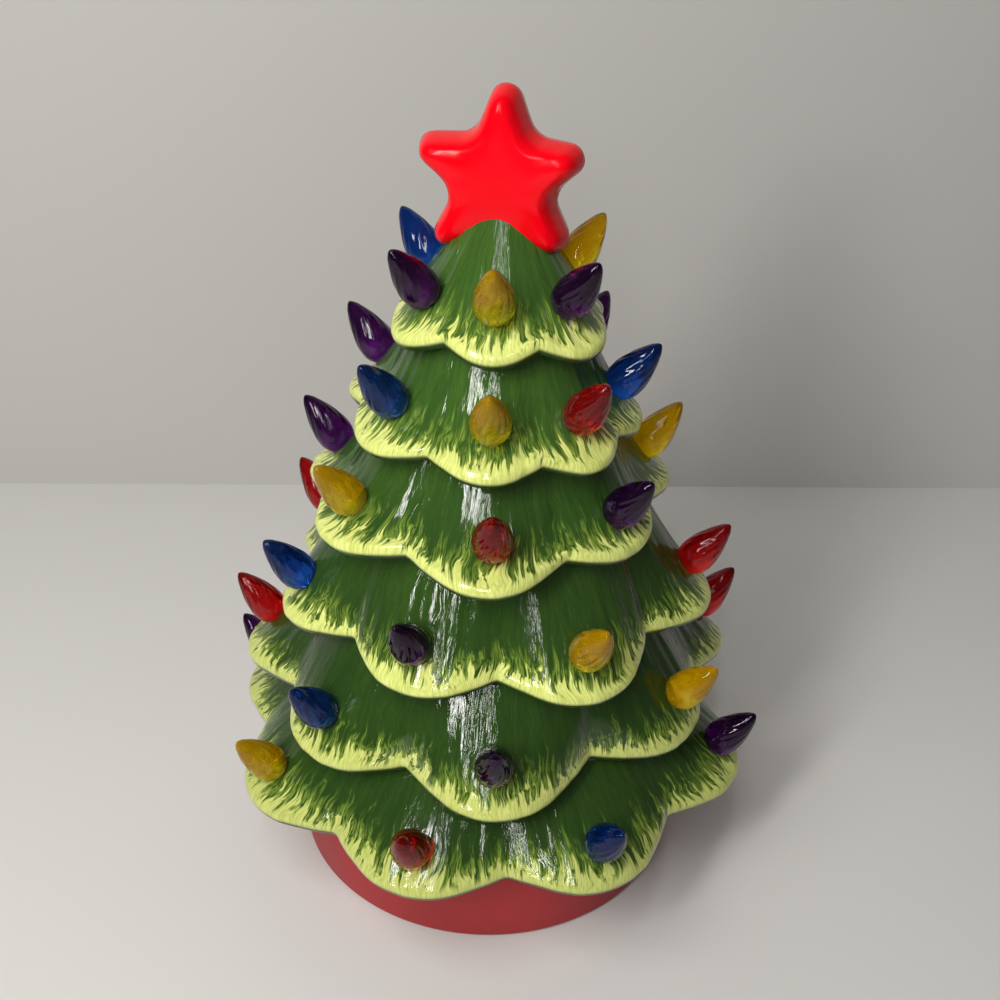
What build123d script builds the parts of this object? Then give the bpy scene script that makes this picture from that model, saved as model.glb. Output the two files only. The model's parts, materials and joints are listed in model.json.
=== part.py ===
"""Ceramic Christmas tree with twist bulbs, on a battery-lit base (millimetres).

+Z is up, the rubber feet stand on Z = 0 and the front of the tree faces -Y.
Angles around the tree count from the front, positive towards +X.
"""

import os
from math import cos, hypot, radians, sin

from build123d import *

os.makedirs("parts", exist_ok=True)

# Tree shell, a hollow casting of six rows of lobes counted from the crown down
tier_1_radius = 32.0
tier_2_radius = 42.7
tier_3_radius = 54.0
tier_4_radius = 61.0
tier_5_radius = 71.5
tier_6_radius = 75.0
tier_1_rise = 128.0
tier_2_rise = 103.7
tier_3_rise = 80.3
tier_4_rise = 50.6
tier_5_rise = 22.7
tier_6_rise = 2.5
crown_rise = 157.7
crown_radius = 6.5
crown_bore_radius = 3.3
shell_wall = 5.0
lip_radius = 2.3
lip_turn = 52
root_inset = 1.5
foot_inset = 0.9
foot_width = 4.0
foot_height = 6.0

# Depth of each row's notches, bend of its flare, outlines along the flare and ripple at its root
lobe_depth_shares = (0.11, 0.12, 0.14, 0.165, 0.17, 0.13)
flare_radius_shares = (0.62, 0.34, 0.44, 0.67, 0.63, 0.71)
flare_height_shares = (0.78, 0.71, 0.82, 0.8, 0.67, 0.7)
flare_shares = (0, 0.35, 0.7, 1)
root_ripple_share = 0.2

# Twist bulbs, one on each lobe
bulb_radius = 5.0
bulb_length = 17.2
bulb_sides = 8
bulb_twist = 70
bulb_tilt = 52
bulb_seat_share = 0.6
bulb_sink = 0.6
bulb_seat_gap = 0.25
peg_radius = 2.4
peg_length = 8.0
peg_gap = 0.2
socket_depth = 20.0
socket_floor = 3.0

# Heights along a bulb and radii there, as shares of its length and radius
bulb_height_shares = (0, 0.16, 0.42, 0.68, 0.88, 1)
bulb_radius_shares = (0.92, 1, 0.9, 0.64, 0.36, 0.1)

# Star topper, a plump plate that saddles the crown
star_tip_reach = 27.6
star_leg_reach = 28.4
star_waist_radius = 12.9
star_tip_round = 4.2
star_crease_round = 3.0
star_thickness = 17.0
star_rise = 5.0
star_turn = -12
star_tip_angles = (0, 72, 135, 225, 288)
star_crease_angles = (36, 106, 180, 254, 324)
star_gap = 0.4
star_peg_radius = 3.0
star_peg_length = 10.0

# Places through the star's thickness and the outline's size there
star_depth_shares = (-0.5, -0.43, -0.28, 0, 0.28, 0.43, 0.5)
star_outline_shares = (0.72, 0.87, 0.96, 1, 0.96, 0.87, 0.72)

# Base drum
base_radius = 55.2
base_height = 31.0
base_wall = 3.0
base_edge_round = 1.6
base_lift = 0.5
seat_gap = 0.3
spigot_gap = 1.0
spigot_width = 1.8
spigot_height = 2.6
bay_gap = 0.5
lead_room = 10.0
plateau_rise = 2.5
hub_radius = 16.0
hub_height = 7.5
hub_wall = 2.4
wire_hole_radius = 4.0

# Cover, its screws and feet
cover_thickness = 2.0
cover_gap = 0.3
foot_pad_radius = 5.0
foot_pad_thickness = 1.5
foot_pad_inset = 4.1
foot_pad_angle = 25
screw_boss_radius = 4.0
screw_boss_gap = 0.8
cover_boss_height = 3.0
screw_head_radius = 2.7
screw_head_height = 2.0
screw_sink = 3.0
screw_radius = 1.4
screw_length = 9.0
screw_gap = 0.05
screw_clear_gap = 0.3
pilot_spare = 1.5

# Battery bay with three AA cells and its hinged door
cell_radius = 7.1
cell_length = 49.2
nub_radius = 2.7
nub_length = 1.3
cell_count = 3
cell_gap = 0.6
tray_wall = 1.6
spring_space = 5.0
contact_thickness = 0.5
contact_width = 9.0
contact_height = 11.0
contact_gap = 0.1
spring_leaf_width = 5.0
door_gap = 0.4
door_pin_radius = 0.6
door_pin_length = 1.2
door_pin_gap = 0.06
latch_thickness = 1.4
latch_height = 1.8
latch_width = 12.0
finger_radius = 6.0
finger_depth = 1.0

# Slide switch
switch_place = 38.0
switch_length = 17.0
switch_width = 8.0
switch_height = 6.0
switch_wall = 1.6
slider_length = 8.0
slider_height = 2.4
slider_gap = 0.4
stem_length = 3.2
stem_width = 2.6
stem_drop = 0.5
switch_travel = 4.0

# Lamp and its leads
board_radius = 12.8
board_gap = 0.4
board_thickness = 1.6
board_recess = 2.0
lamp_radius = 2.5
lamp_height = 5.6
lamp_flange_radius = 2.9
lamp_flange_height = 1.0
lead_radius = 0.7
lead_bend = 2.2
lead_spread = 1.6
lead_reach = 4.5
lead_start = 14.0

# Heights, places and radii that follow from the sizes above
tree_foot = base_height + seat_gap
crown_height = tree_foot + crown_rise
cover_floor = foot_pad_thickness
cover_top = cover_floor + cover_thickness
tray_length = contact_thickness + nub_length + cell_length + spring_space
tray_width = cell_count * 2 * cell_radius + (cell_count + 1) * cell_gap
tray_ceiling = cover_top + 2 * cell_radius + 2 * cell_gap
tray_end = tray_length / 2 + tray_wall
tray_side = tray_width / 2 + tray_wall
bay_top = tray_ceiling + tray_wall
bay_radius = hypot(tray_end, tray_side) + bay_gap
drum_ceiling = base_height - base_wall
plateau_ceiling = max(bay_top + lead_room, drum_ceiling + plateau_rise)
plateau_top = plateau_ceiling + base_wall
plateau_radius = bay_radius + hub_wall
hub_top = plateau_top + hub_height
board_floor = hub_top - board_recess
drum_inner_radius = base_radius - base_wall
foot_inner_radius = base_radius - foot_inset - foot_width
screw_joint = cover_top + cover_boss_height
screw_place = drum_inner_radius - screw_boss_radius - screw_boss_gap
foot_pad_place = drum_inner_radius - cover_gap - foot_pad_radius - foot_pad_inset

tier_radii = (tier_1_radius, tier_2_radius, tier_3_radius, tier_4_radius, tier_5_radius, tier_6_radius)
tier_rises = (tier_1_rise, tier_2_rise, tier_3_rise, tier_4_rise, tier_5_rise, tier_6_rise)

# Where each row's lobes point, how far each reaches and the colour of the bulb on it
lobe_angles = (
    (-122, -52, -3, 42, 122, 180),
    (-110, -49, -2, 36, 78, 135, 192),
    (-100, -54, 0, 48, 104, 157, 207),
    (-115, -71, -21, 26, 86, 138, 192),
    (-94, -46, 2, 61, 103, 152, 208),
    (-103, -58, -15, 26, 73, 118, 162, 208),
)
lobe_reach_shares = (
    (0.83, 0.94, 0.96, 1, 0.82, 0.92),
    (0.95, 0.96, 1, 0.98, 0.88, 0.9, 0.95),
    (0.94, 0.96, 1, 0.88, 0.9, 0.92, 0.94),
    (0.97, 0.96, 0.92, 0.98, 1, 0.97, 0.97),
    (1, 0.89, 0.92, 0.88, 1, 0.95, 0.95),
    (1, 1, 0.99, 1, 1, 0.99, 1, 0.99),
)
bulb_colours = (
    ("blue", "purple", "yellow", "purple", "yellow", "red"),
    ("purple", "blue", "yellow", "red", "blue", "purple", "red"),
    ("purple", "yellow", "red", "purple", "yellow", "blue", "red"),
    ("red", "blue", "purple", "yellow", "red", "blue", "yellow"),
    ("red", "blue", "purple", "yellow", "red", "purple", "yellow"),
    ("purple", "yellow", "red", "blue", "purple", "yellow", "red", "blue"),
)


def save(builder, name):
    """Labels a finished piece and writes its STEP file."""
    builder.part.label = name
    export_step(builder.part, f"parts/{name}.step")


def outward(angle):
    """Unit vector away from the tree's axis."""
    return Vector(sin(radians(angle)), -cos(radians(angle)), 0)


# Outlines of the tree shell


def lobe_ring(row):
    """Angle and reach of a row's tips and notches in turn, where the reach is a share of its radius."""
    angles = lobe_angles[row]
    reaches = lobe_reach_shares[row]
    ring = []
    for number, (angle, reach) in enumerate(zip(angles, reaches)):
        after = (number + 1) % len(angles)
        gap = (angles[after] - angle) % 360
        depth = lobe_depth_shares[row] * gap * len(angles) / 360
        ring.append((angle, reach))
        ring.append((angle + gap / 2, (1 - depth) * (reach + reaches[after]) / 2))
    return ring


def narrowest(row):
    """Reach of a row's deepest notch."""
    return min(reach for angle, reach in lobe_ring(row))


def rippled(reach, share):
    """Reach of a tip or notch part of the way down a flare, where the ripple is still growing."""
    ripple = root_ripple_share + (1 - root_ripple_share) * share
    return 1 + (reach - 1) * ripple


def row_root(row):
    """Radius and height where a row's wall leaves the row above it."""
    if row == 0:
        return crown_radius, crown_height
    above = row - 1
    return tier_radii[above] * narrowest(above) - root_inset, tree_foot + tier_rises[above]


def row_flare(row):
    """Root, bend and lip top of the curve that a row's wall follows, as radius and height."""
    root = row_root(row)
    lip_top = (
        tier_radii[row] - lip_radius * (1 - cos(radians(lip_turn))),
        tree_foot + tier_rises[row] + lip_radius * sin(radians(lip_turn)),
    )
    bend = (
        root[0] + flare_radius_shares[row] * (lip_top[0] - root[0]),
        root[1] + flare_height_shares[row] * (lip_top[1] - root[1]),
    )
    return root, bend, lip_top


def flare_point(row, share):
    """Point along a row's flare, from its root at 0 to its lip at 1."""
    weights = ((1 - share) ** 2, 2 * share * (1 - share), share**2)
    points = row_flare(row)
    radius = sum(weight * point[0] for weight, point in zip(weights, points))
    height = sum(weight * point[1] for weight, point in zip(weights, points))
    return radius, height


def row_levels(row):
    """Radius, height and share of the flare at each outline down a row, round its lip to the underside."""
    tip_radius = tier_radii[row]
    tip_height = tree_foot + tier_rises[row]
    lip_low = (
        tip_radius - lip_radius * (1 - cos(radians(lip_turn))),
        tip_height - lip_radius * sin(radians(lip_turn)),
    )
    flare = [(*flare_point(row, share), share) for share in flare_shares]
    return flare + [(tip_radius, tip_height, 1), (*lip_low, 1)]


def scalloped_outline(row, radius, height, share):
    """Ring of round lobes and notches at one height, drawn as an arc through each tip and notch."""
    turns = [(angle, radius * rippled(reach, share)) for angle, reach in lobe_ring(row)]
    nexts = turns[1:] + [(turns[0][0] + 360, turns[0][1])]
    mids = [((a + b) / 2, (r + s) / 2) for (a, r), (b, s) in zip(turns, nexts)]
    befores = mids[-1:] + mids[:-1]
    with BuildSketch(Plane.XY.offset(height)) as outline:
        with BuildLine():
            for points in zip(befores, turns, mids):
                ThreePointArc(*[outward(angle) * reach for angle, reach in points])
        make_face()
    return outline.sketch


def bulb_plane(row, angle, reach):
    """Plane of a bulb's seat, with local Z along the bulb."""
    radius, height = flare_point(row, bulb_seat_share)
    tilt = radians(bulb_tilt)
    axis = outward(angle) * cos(tilt) + Vector(0, 0, sin(tilt))
    place = outward(angle) * radius * rippled(reach, bulb_seat_share)
    seat = place + Vector(0, 0, height) - axis * bulb_sink
    return Plane(origin=seat, x_dir=outward(angle + 90), z_dir=axis)


bulb_planes = [
    [bulb_plane(row, *lobe) for lobe in zip(angles, reaches)]
    for row, (angles, reaches) in enumerate(zip(lobe_angles, lobe_reach_shares))
]

# Sockets that are bored for the bulbs' pegs and faced flat for their seats
with BuildPart() as sockets:
    for planes in bulb_planes:
        room = planes[0].origin.Z - tree_foot - socket_floor
        depth = min(socket_depth, room / sin(radians(bulb_tilt)))
        with Locations(*planes):
            Cylinder(peg_radius + peg_gap, depth, align=(Align.CENTER, Align.CENTER, Align.MAX))
            Cylinder(bulb_radius + bulb_seat_gap, bulb_radius, align=(Align.CENTER, Align.CENTER, Align.MIN))

cavity_points = [(foot_inner_radius, tree_foot + foot_height)]
for row in range(len(tier_radii) - 1, 0, -1):
    root_radius, root_height = row_root(row)
    cavity_points.append((root_radius * rippled(narrowest(row), 0) - shell_wall, root_height))

with BuildPart() as tree_shell:
    for row in range(len(tier_radii)):
        loft(sections=[scalloped_outline(row, *level) for level in row_levels(row)], ruled=True)
    with BuildSketch(Plane.XY.offset(tree_foot)):
        Circle(foot_inner_radius + foot_width)
    extrude(amount=foot_height)
    with BuildSketch(Plane.XZ):
        with BuildLine():
            Polyline(
                (0, tree_foot),
                (foot_inner_radius, tree_foot),
                *cavity_points,
                (crown_bore_radius, crown_height - star_peg_length),
                (crown_bore_radius, crown_height),
                (0, crown_height),
                close=True,
            )
        make_face()
    revolve(axis=Axis.Z, mode=Mode.SUBTRACT)
    add(sockets.part, mode=Mode.SUBTRACT)
save(tree_shell, "tree_shell")

# One twist bulb with its peg, standing on the origin
with BuildPart() as bulb:
    for height_share, radius_share in zip(bulb_height_shares, bulb_radius_shares):
        with BuildSketch(Plane.XY.offset(bulb_length * height_share)):
            RegularPolygon(bulb_radius * radius_share, bulb_sides, rotation=bulb_twist * height_share)
    loft(ruled=True)
    with BuildSketch(Plane.XY):
        Circle(peg_radius)
    extrude(amount=-peg_length)

for row, planes in enumerate(bulb_planes):
    for number, plane in enumerate(planes):
        with BuildPart(plane) as placed_bulb:
            add(bulb.part)
        save(placed_bulb, f"{bulb_colours[row][number]}_bulb_{row + 1}_{number + 1}")

# Star topper

star_reaches = (star_tip_reach, star_tip_reach, star_leg_reach, star_leg_reach, star_tip_reach)


def star_section(depth_share, outline_share):
    """Rounded star outline on an upright plane, offset through the star's thickness."""
    front = outward(star_turn)
    centre = Vector(0, 0, crown_height + star_rise) + front * (star_thickness * depth_share)
    corners = []
    for tip, reach, crease in zip(star_tip_angles, star_reaches, star_crease_angles):
        for turn, radius in ((tip, reach), (crease, star_waist_radius)):
            corners.append(outline_share * radius * Vector(-sin(radians(turn)), cos(radians(turn))))
    with BuildSketch(Plane(origin=centre, x_dir=outward(star_turn + 90), z_dir=front)) as outline:
        with BuildLine():
            Polyline(*corners, close=True)
        make_face()
        points = outline.vertices().sort_by_distance((0, 0, 0))
        fillet(points[len(star_reaches):], star_tip_round * outline_share)
        creases = outline.vertices().sort_by_distance((0, 0, 0))[: len(star_reaches)]
        fillet(creases, star_crease_round * outline_share)
    return outline.sketch


with BuildPart() as star_topper:
    star_sections = [star_section(*shares) for shares in zip(star_depth_shares, star_outline_shares)]
    loft(sections=star_sections, ruled=True)
    with BuildSketch(Plane.XZ) as saddle_profile:
        with BuildLine():
            saddle_levels = [(radius + star_gap, height) for radius, height, share in row_levels(0)]
            Polyline((0, crown_height), *saddle_levels, (0, saddle_levels[-1][1]), close=True)
        make_face()
    revolve(axis=Axis.Z, mode=Mode.SUBTRACT)
    with BuildSketch(Plane.XY.offset(crown_height)):
        Circle(star_peg_radius)
    extrude(amount=-star_peg_length)
save(star_topper, "star_topper")

# Base drum, a cup that opens downward, with a spigot, a plateau over the battery bay and a lamp hub on top

spigot_radius = foot_inner_radius - spigot_gap
screw_places = PolarLocations(screw_place, 4, start_angle=45)

with BuildPart() as base_drum:
    with BuildSketch(Plane.XZ) as drum_profile:
        with BuildLine():
            Polyline(
                (wire_hole_radius, board_floor),
                (board_radius + board_gap, board_floor),
                (board_radius + board_gap, hub_top),
                (hub_radius, hub_top),
                (hub_radius, plateau_top),
                (plateau_radius, plateau_top),
                (plateau_radius, base_height),
                (spigot_radius - spigot_width, base_height),
                (spigot_radius - spigot_width, base_height + spigot_height),
                (spigot_radius, base_height + spigot_height),
                (spigot_radius, base_height),
                (base_radius, base_height),
                (base_radius, base_lift),
                (drum_inner_radius, base_lift),
                (drum_inner_radius, drum_ceiling),
                (bay_radius, drum_ceiling),
                (bay_radius, plateau_ceiling),
                (hub_radius - hub_wall, plateau_ceiling),
                (hub_radius - hub_wall, board_floor - hub_wall),
                (wire_hole_radius, board_floor - hub_wall),
                close=True,
            )
        make_face()
    revolve(axis=Axis.Z)
    rim_edges = base_drum.edges().filter_by(GeomType.CIRCLE).sort_by(SortBy.RADIUS)[-2:]
    fillet(rim_edges.sort_by(Axis.Z)[-1], base_edge_round)
    with BuildSketch(Plane.XY.offset(screw_joint)):
        with screw_places:
            Circle(screw_boss_radius)
    extrude(amount=drum_ceiling - screw_joint)
    with BuildSketch(Plane.XY.offset(screw_joint)):
        with screw_places:
            Circle(screw_radius + screw_gap)
    extrude(amount=screw_length - cover_boss_height + pilot_spare, mode=Mode.SUBTRACT)
save(base_drum, "base_drum")

# Cover with the battery tray, which opens downward

hinge_y = door_gap + cover_thickness / 2 - tray_width / 2
hinge_z = cover_floor + cover_thickness / 2
pin_reach = tray_length / 2 - door_gap + door_pin_length
stem_slot_length = stem_length + switch_travel + 2 * slider_gap
stem_slot_width = stem_width + 2 * slider_gap

with BuildPart() as base_cover:
    with BuildSketch(Plane.XY.offset(cover_floor)):
        Circle(drum_inner_radius - cover_gap)
    extrude(amount=cover_thickness)
    with BuildSketch(Plane.XY.offset(cover_floor)):
        Rectangle(2 * tray_end, 2 * tray_side)
    extrude(amount=bay_top - cover_floor)
    with BuildSketch(Plane.XY.offset(cover_top)):
        with screw_places:
            Circle(screw_boss_radius)
    extrude(amount=cover_boss_height)
    with BuildSketch(Plane.XY.offset(cover_floor)):
        Rectangle(tray_length, tray_width)
    extrude(amount=tray_ceiling - cover_floor, mode=Mode.SUBTRACT)
    with BuildSketch(Plane.YZ.offset(-pin_reach - door_gap)):
        with Locations((hinge_y, hinge_z)):
            Circle(door_pin_radius + door_pin_gap)
    extrude(amount=2 * (pin_reach + door_gap), mode=Mode.SUBTRACT)
    with BuildSketch(Plane.XY.offset(cover_floor)):
        with Locations((0, switch_place)):
            Rectangle(stem_slot_length, stem_slot_width)
    extrude(amount=cover_thickness, mode=Mode.SUBTRACT)
    with BuildSketch(Plane.XY.offset(cover_floor)):
        with screw_places:
            Circle(screw_head_radius + screw_clear_gap)
    extrude(amount=screw_sink, mode=Mode.SUBTRACT)
    with BuildSketch(Plane.XY.offset(cover_floor)):
        with screw_places:
            Circle(screw_radius + screw_clear_gap)
    extrude(amount=screw_joint - cover_floor, mode=Mode.SUBTRACT)
save(base_cover, "base_cover")

with BuildPart() as cover_screws:
    with BuildSketch(Plane.XY.offset(cover_floor + screw_sink)):
        with screw_places:
            Circle(screw_head_radius)
    extrude(amount=-screw_head_height)
    with BuildSketch(Plane.XY.offset(cover_floor + screw_sink)):
        with screw_places:
            Circle(screw_radius)
    extrude(amount=screw_length)
save(cover_screws, "cover_screws")

with BuildPart() as rubber_feet:
    with BuildSketch(Plane.XY):
        with PolarLocations(foot_pad_place, 4, start_angle=foot_pad_angle):
            Circle(foot_pad_radius)
    extrude(amount=foot_pad_thickness)
save(rubber_feet, "rubber_feet")

# Battery door, hinged on two pins along the bay's front edge

with BuildPart() as battery_door:
    with BuildSketch(Plane.XY.offset(cover_floor)):
        with Locations((0, hinge_y)):
            Rectangle(
                tray_length - 2 * door_gap,
                tray_width / 2 - door_gap - hinge_y,
                align=(Align.CENTER, Align.MIN),
            )
    extrude(amount=cover_thickness)
    with BuildSketch(Plane.YZ.offset(door_gap - tray_length / 2)):
        with Locations((hinge_y, hinge_z)):
            Circle(cover_thickness / 2)
    extrude(amount=tray_length - 2 * door_gap)
    with BuildSketch(Plane.YZ.offset(-pin_reach)):
        with Locations((hinge_y, hinge_z)):
            Circle(door_pin_radius)
    extrude(amount=2 * pin_reach)
    with BuildSketch(Plane.XY.offset(cover_top)):
        with Locations((0, tray_width / 2 - door_gap)):
            Rectangle(latch_width, latch_thickness, align=(Align.CENTER, Align.MAX))
    extrude(amount=latch_height)
    with BuildSketch(Plane.XY.offset(cover_floor)):
        with Locations((0, tray_width / 2 - door_gap)):
            Circle(finger_radius)
    extrude(amount=finger_depth, mode=Mode.SUBTRACT)
save(battery_door, "battery_door")

# Cells, side by side along X with every other one turned round

cell_pitch = 2 * cell_radius + cell_gap
cell_height = cover_top + cell_gap + cell_radius
nub_wall = tray_length / 2 - contact_thickness

with BuildPart() as cell:
    Cylinder(cell_radius, cell_length - contact_gap, align=(Align.CENTER, Align.CENTER, Align.MAX))
    Cylinder(nub_radius, nub_length - contact_gap, align=(Align.CENTER, Align.CENTER, Align.MIN))

cell_rows = []
for number in range(cell_count):
    side = 1 if number % 2 == 0 else -1
    cell_y = (number - (cell_count - 1) / 2) * cell_pitch
    cell_rows.append((side, cell_y))
    shoulder = Vector(side * (nub_wall - nub_length), cell_y, cell_height)
    with BuildPart(Plane(origin=shoulder, x_dir=(0, 1, 0), z_dir=(side, 0, 0))) as battery_cell:
        add(cell.part)
    save(battery_cell, f"battery_cell_{number + 1}")

with BuildPart() as positive_contacts:
    for side, cell_y in cell_rows:
        plate_plane = Plane(
            origin=(side * nub_wall, cell_y, cell_height),
            x_dir=(0, 1, 0),
            z_dir=(side, 0, 0),
        )
        with BuildSketch(plate_plane):
            Rectangle(contact_width, contact_height)
        extrude(amount=contact_thickness)
save(positive_contacts, "positive_contacts")

# Each spring contact is a strip folded off a wall plate and bowed towards the cell

with BuildPart() as spring_contacts:
    for side, cell_y in cell_rows:
        wall_plane = Plane(
            origin=(-side * tray_length / 2, cell_y, cell_height),
            x_dir=(side, 0, 0),
            z_dir=(0, -side, 0),
        )
        with BuildSketch(wall_plane):
            with BuildLine():
                FilletPolyline(
                    (contact_thickness / 2, -contact_height / 2),
                    (contact_thickness / 2, contact_height / 2),
                    (spring_space - contact_thickness / 2 - contact_gap, 0),
                    (spring_space / 2, -contact_height / 2),
                    radius=contact_thickness,
                )
            trace(line_width=contact_thickness)
        extrude(amount=spring_leaf_width / 2, both=True)
save(spring_contacts, "spring_contacts")

# Slide switch on the cover's inner face

slider_x = -switch_travel / 2
slider_floor = cover_top + slider_gap
switch_room = slider_length + switch_travel + 2 * slider_gap

with BuildPart() as switch_housing:
    with BuildSketch(Plane.XY.offset(cover_top)):
        with Locations((0, switch_place)):
            Rectangle(switch_length, switch_width)
    extrude(amount=switch_height)
    with BuildSketch(Plane.XY.offset(cover_top)):
        with Locations((0, switch_place)):
            Rectangle(switch_room, switch_width - 2 * switch_wall)
    extrude(amount=slider_height + 2 * slider_gap, mode=Mode.SUBTRACT)
save(switch_housing, "switch_housing")

with BuildPart() as switch_knob:
    with BuildSketch(Plane.XY.offset(slider_floor)):
        with Locations((slider_x, switch_place)):
            Rectangle(slider_length, switch_width - 2 * switch_wall - 2 * slider_gap)
    extrude(amount=slider_height)
    with BuildSketch(Plane.XY.offset(slider_floor)):
        with Locations((slider_x, switch_place)):
            Rectangle(stem_length, stem_width)
    extrude(amount=cover_floor - stem_drop - slider_floor)
save(switch_knob, "switch_knob")

# Lamp board in the hub, with its lamp

with BuildPart() as led_board:
    with BuildSketch(Plane.XY.offset(board_floor)):
        Circle(board_radius)
    extrude(amount=board_thickness)
save(led_board, "led_board")

lamp_floor = board_floor + board_thickness

with BuildPart() as led_lamp:
    with BuildSketch(Plane.XY.offset(lamp_floor)):
        Circle(lamp_flange_radius)
    extrude(amount=lamp_flange_height)
    with BuildSketch(Plane.XZ) as lamp_profile:
        with BuildLine():
            lamp_shoulder = lamp_floor + lamp_flange_height + lamp_height
            Polyline((0, lamp_shoulder + lamp_radius), (0, lamp_floor), (lamp_radius, lamp_floor),
                     (lamp_radius, lamp_shoulder))
            RadiusArc((lamp_radius, lamp_shoulder), (0, lamp_shoulder + lamp_radius), -lamp_radius)
        make_face()
    revolve(axis=Axis.Z)
save(led_lamp, "led_lamp")

# Leads from the bay to the lamp and the switch

lead_deck = (bay_top + plateau_ceiling) / 2
switch_side = switch_place - switch_width / 2
lead_low = cover_top + switch_height / 2
lead_lane = (tray_side + switch_side) / 2
lead_routes = (
    (
        (lead_spread, 0, board_floor),
        (lead_spread, 0, lead_deck),
        (tray_end + lead_reach, 0, lead_deck),
        (tray_end + lead_reach, 0, cell_height),
        (tray_end, 0, cell_height),
    ),
    (
        (-lead_spread, 0, board_floor),
        (-lead_spread, 0, lead_deck),
        (-lead_spread, lead_lane, lead_deck),
        (-lead_spread, lead_lane, lead_low),
        (-lead_spread, switch_side, lead_low),
    ),
    (
        (-lead_start, tray_side, lead_low),
        (-lead_start, lead_lane, lead_low),
        (-3 * lead_spread, lead_lane, lead_low),
        (-3 * lead_spread, switch_side, lead_low),
    ),
)

with BuildPart() as lead_wires:
    for route in lead_routes:
        with BuildLine() as path:
            FilletPolyline(*route, radius=lead_bend)
        with BuildSketch(path.line ^ 0):
            Circle(lead_radius)
        sweep(path=path.line)
save(lead_wires, "lead_wires")
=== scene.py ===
"""Looks of the ceramic Christmas tree: glazed tree, twist bulbs, star, base and a plain stage."""

import json
import math

import bpy
import numpy as np
from mathutils import Matrix, Vector


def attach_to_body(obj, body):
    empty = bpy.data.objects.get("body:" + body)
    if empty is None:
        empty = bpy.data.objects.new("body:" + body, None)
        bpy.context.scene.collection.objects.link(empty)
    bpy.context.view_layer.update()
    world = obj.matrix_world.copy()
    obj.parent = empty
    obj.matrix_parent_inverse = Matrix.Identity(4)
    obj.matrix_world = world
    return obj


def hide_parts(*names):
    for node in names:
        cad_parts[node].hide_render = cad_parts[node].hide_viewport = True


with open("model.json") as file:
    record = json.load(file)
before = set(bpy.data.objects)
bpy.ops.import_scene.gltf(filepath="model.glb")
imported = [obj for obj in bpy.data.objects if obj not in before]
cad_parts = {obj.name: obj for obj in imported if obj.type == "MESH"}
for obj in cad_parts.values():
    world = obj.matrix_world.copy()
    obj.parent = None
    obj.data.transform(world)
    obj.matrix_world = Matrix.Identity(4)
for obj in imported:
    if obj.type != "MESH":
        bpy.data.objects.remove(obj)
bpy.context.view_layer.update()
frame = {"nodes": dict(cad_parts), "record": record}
nodes = frame["nodes"]
scene = bpy.context.scene

MM = 0.001

# Base sizes in millimetres, the same as in the solids
BASE_RADIUS = 55.2
BASE_HEIGHT = 31.0
BASE_WALL = 3.0
SKIRT_FOOT = 0.5
SPIGOT_OUTER = 49.3
SPIGOT_WALL = 1.8
SPIGOT_HEIGHT = 2.6
PLATEAU_RADIUS = 41.1
PLATEAU_HEIGHT = 2.5
HUB_RADIUS = 16.0
HUB_TOP = 41.0
HUB_WALL = 2.4
BOARD_SEAT_RADIUS = 13.2
BOARD_FLOOR = 39.0
WIRE_HOLE_RADIUS = 4.0

# Tree sizes in millimetres and degrees, the same as in the solids
FOOT_GAP = 0.3
FOOT_CLEARANCE = 1.0
FOOT_WALL = 4.0
FOOT_BEVEL = 0.5
FOOT_HEIGHT = 6.0
FOOT_Z = BASE_HEIGHT + FOOT_GAP
FOOT_INNER = SPIGOT_OUTER + FOOT_CLEARANCE
FOOT_OUTER = FOOT_INNER + FOOT_WALL
CROWN_Z = 189.0
CROWN_RADIUS = 6.5
CROWN_BORE = 3.3
CROWN_BORE_DEPTH = 10.0
LIP = 2.3
LIP_TURN = 52
ROOT_INSET = 1.5
ROOT_RIPPLE = 0.2
SHELL_WALL = 5.0

# Rows from the top down: radius, rise of the rim over the foot, depth of the notches and bend of the flare
TIER_RADII = (32.0, 42.7, 54.0, 61.0, 71.5, 75.0)
TIER_RISES = (128.0, 103.7, 80.3, 50.6, 22.7, 2.5)
TIER_HEIGHTS = tuple(FOOT_Z + rise for rise in TIER_RISES)
ROWS = len(TIER_RADII)
LOBE_DEPTHS = (0.11, 0.12, 0.14, 0.165, 0.17, 0.13)
FLARE_RADII = (0.62, 0.34, 0.44, 0.67, 0.63, 0.71)
FLARE_HEIGHTS = (0.78, 0.71, 0.82, 0.8, 0.67, 0.7)

# Lobes of each row: angle from the front, reach as a share of the row's radius, and colour of the bulb
LOBE_ANGLES = (
    (-122, -52, -3, 42, 122, 180),
    (-110, -49, -2, 36, 78, 135, 192),
    (-100, -54, 0, 48, 104, 157, 207),
    (-115, -71, -21, 26, 86, 138, 192),
    (-94, -46, 2, 61, 103, 152, 208),
    (-103, -58, -15, 26, 73, 118, 162, 208),
)
LOBE_REACHES = (
    (0.83, 0.94, 0.96, 1, 0.82, 0.92),
    (0.95, 0.96, 1, 0.98, 0.88, 0.9, 0.95),
    (0.94, 0.96, 1, 0.88, 0.9, 0.92, 0.94),
    (0.97, 0.96, 0.92, 0.98, 1, 0.97, 0.97),
    (1, 0.89, 0.92, 0.88, 1, 0.95, 0.95),
    (1, 1, 0.99, 1, 1, 0.99, 1, 0.99),
)
BULB_COLOURS = (
    ("blue", "purple", "yellow", "purple", "yellow", "red"),
    ("purple", "blue", "yellow", "red", "blue", "purple", "red"),
    ("purple", "yellow", "red", "purple", "yellow", "blue", "red"),
    ("red", "blue", "purple", "yellow", "red", "blue", "yellow"),
    ("red", "blue", "purple", "yellow", "red", "purple", "yellow"),
    ("purple", "yellow", "red", "blue", "purple", "yellow", "red", "blue"),
)

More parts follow.
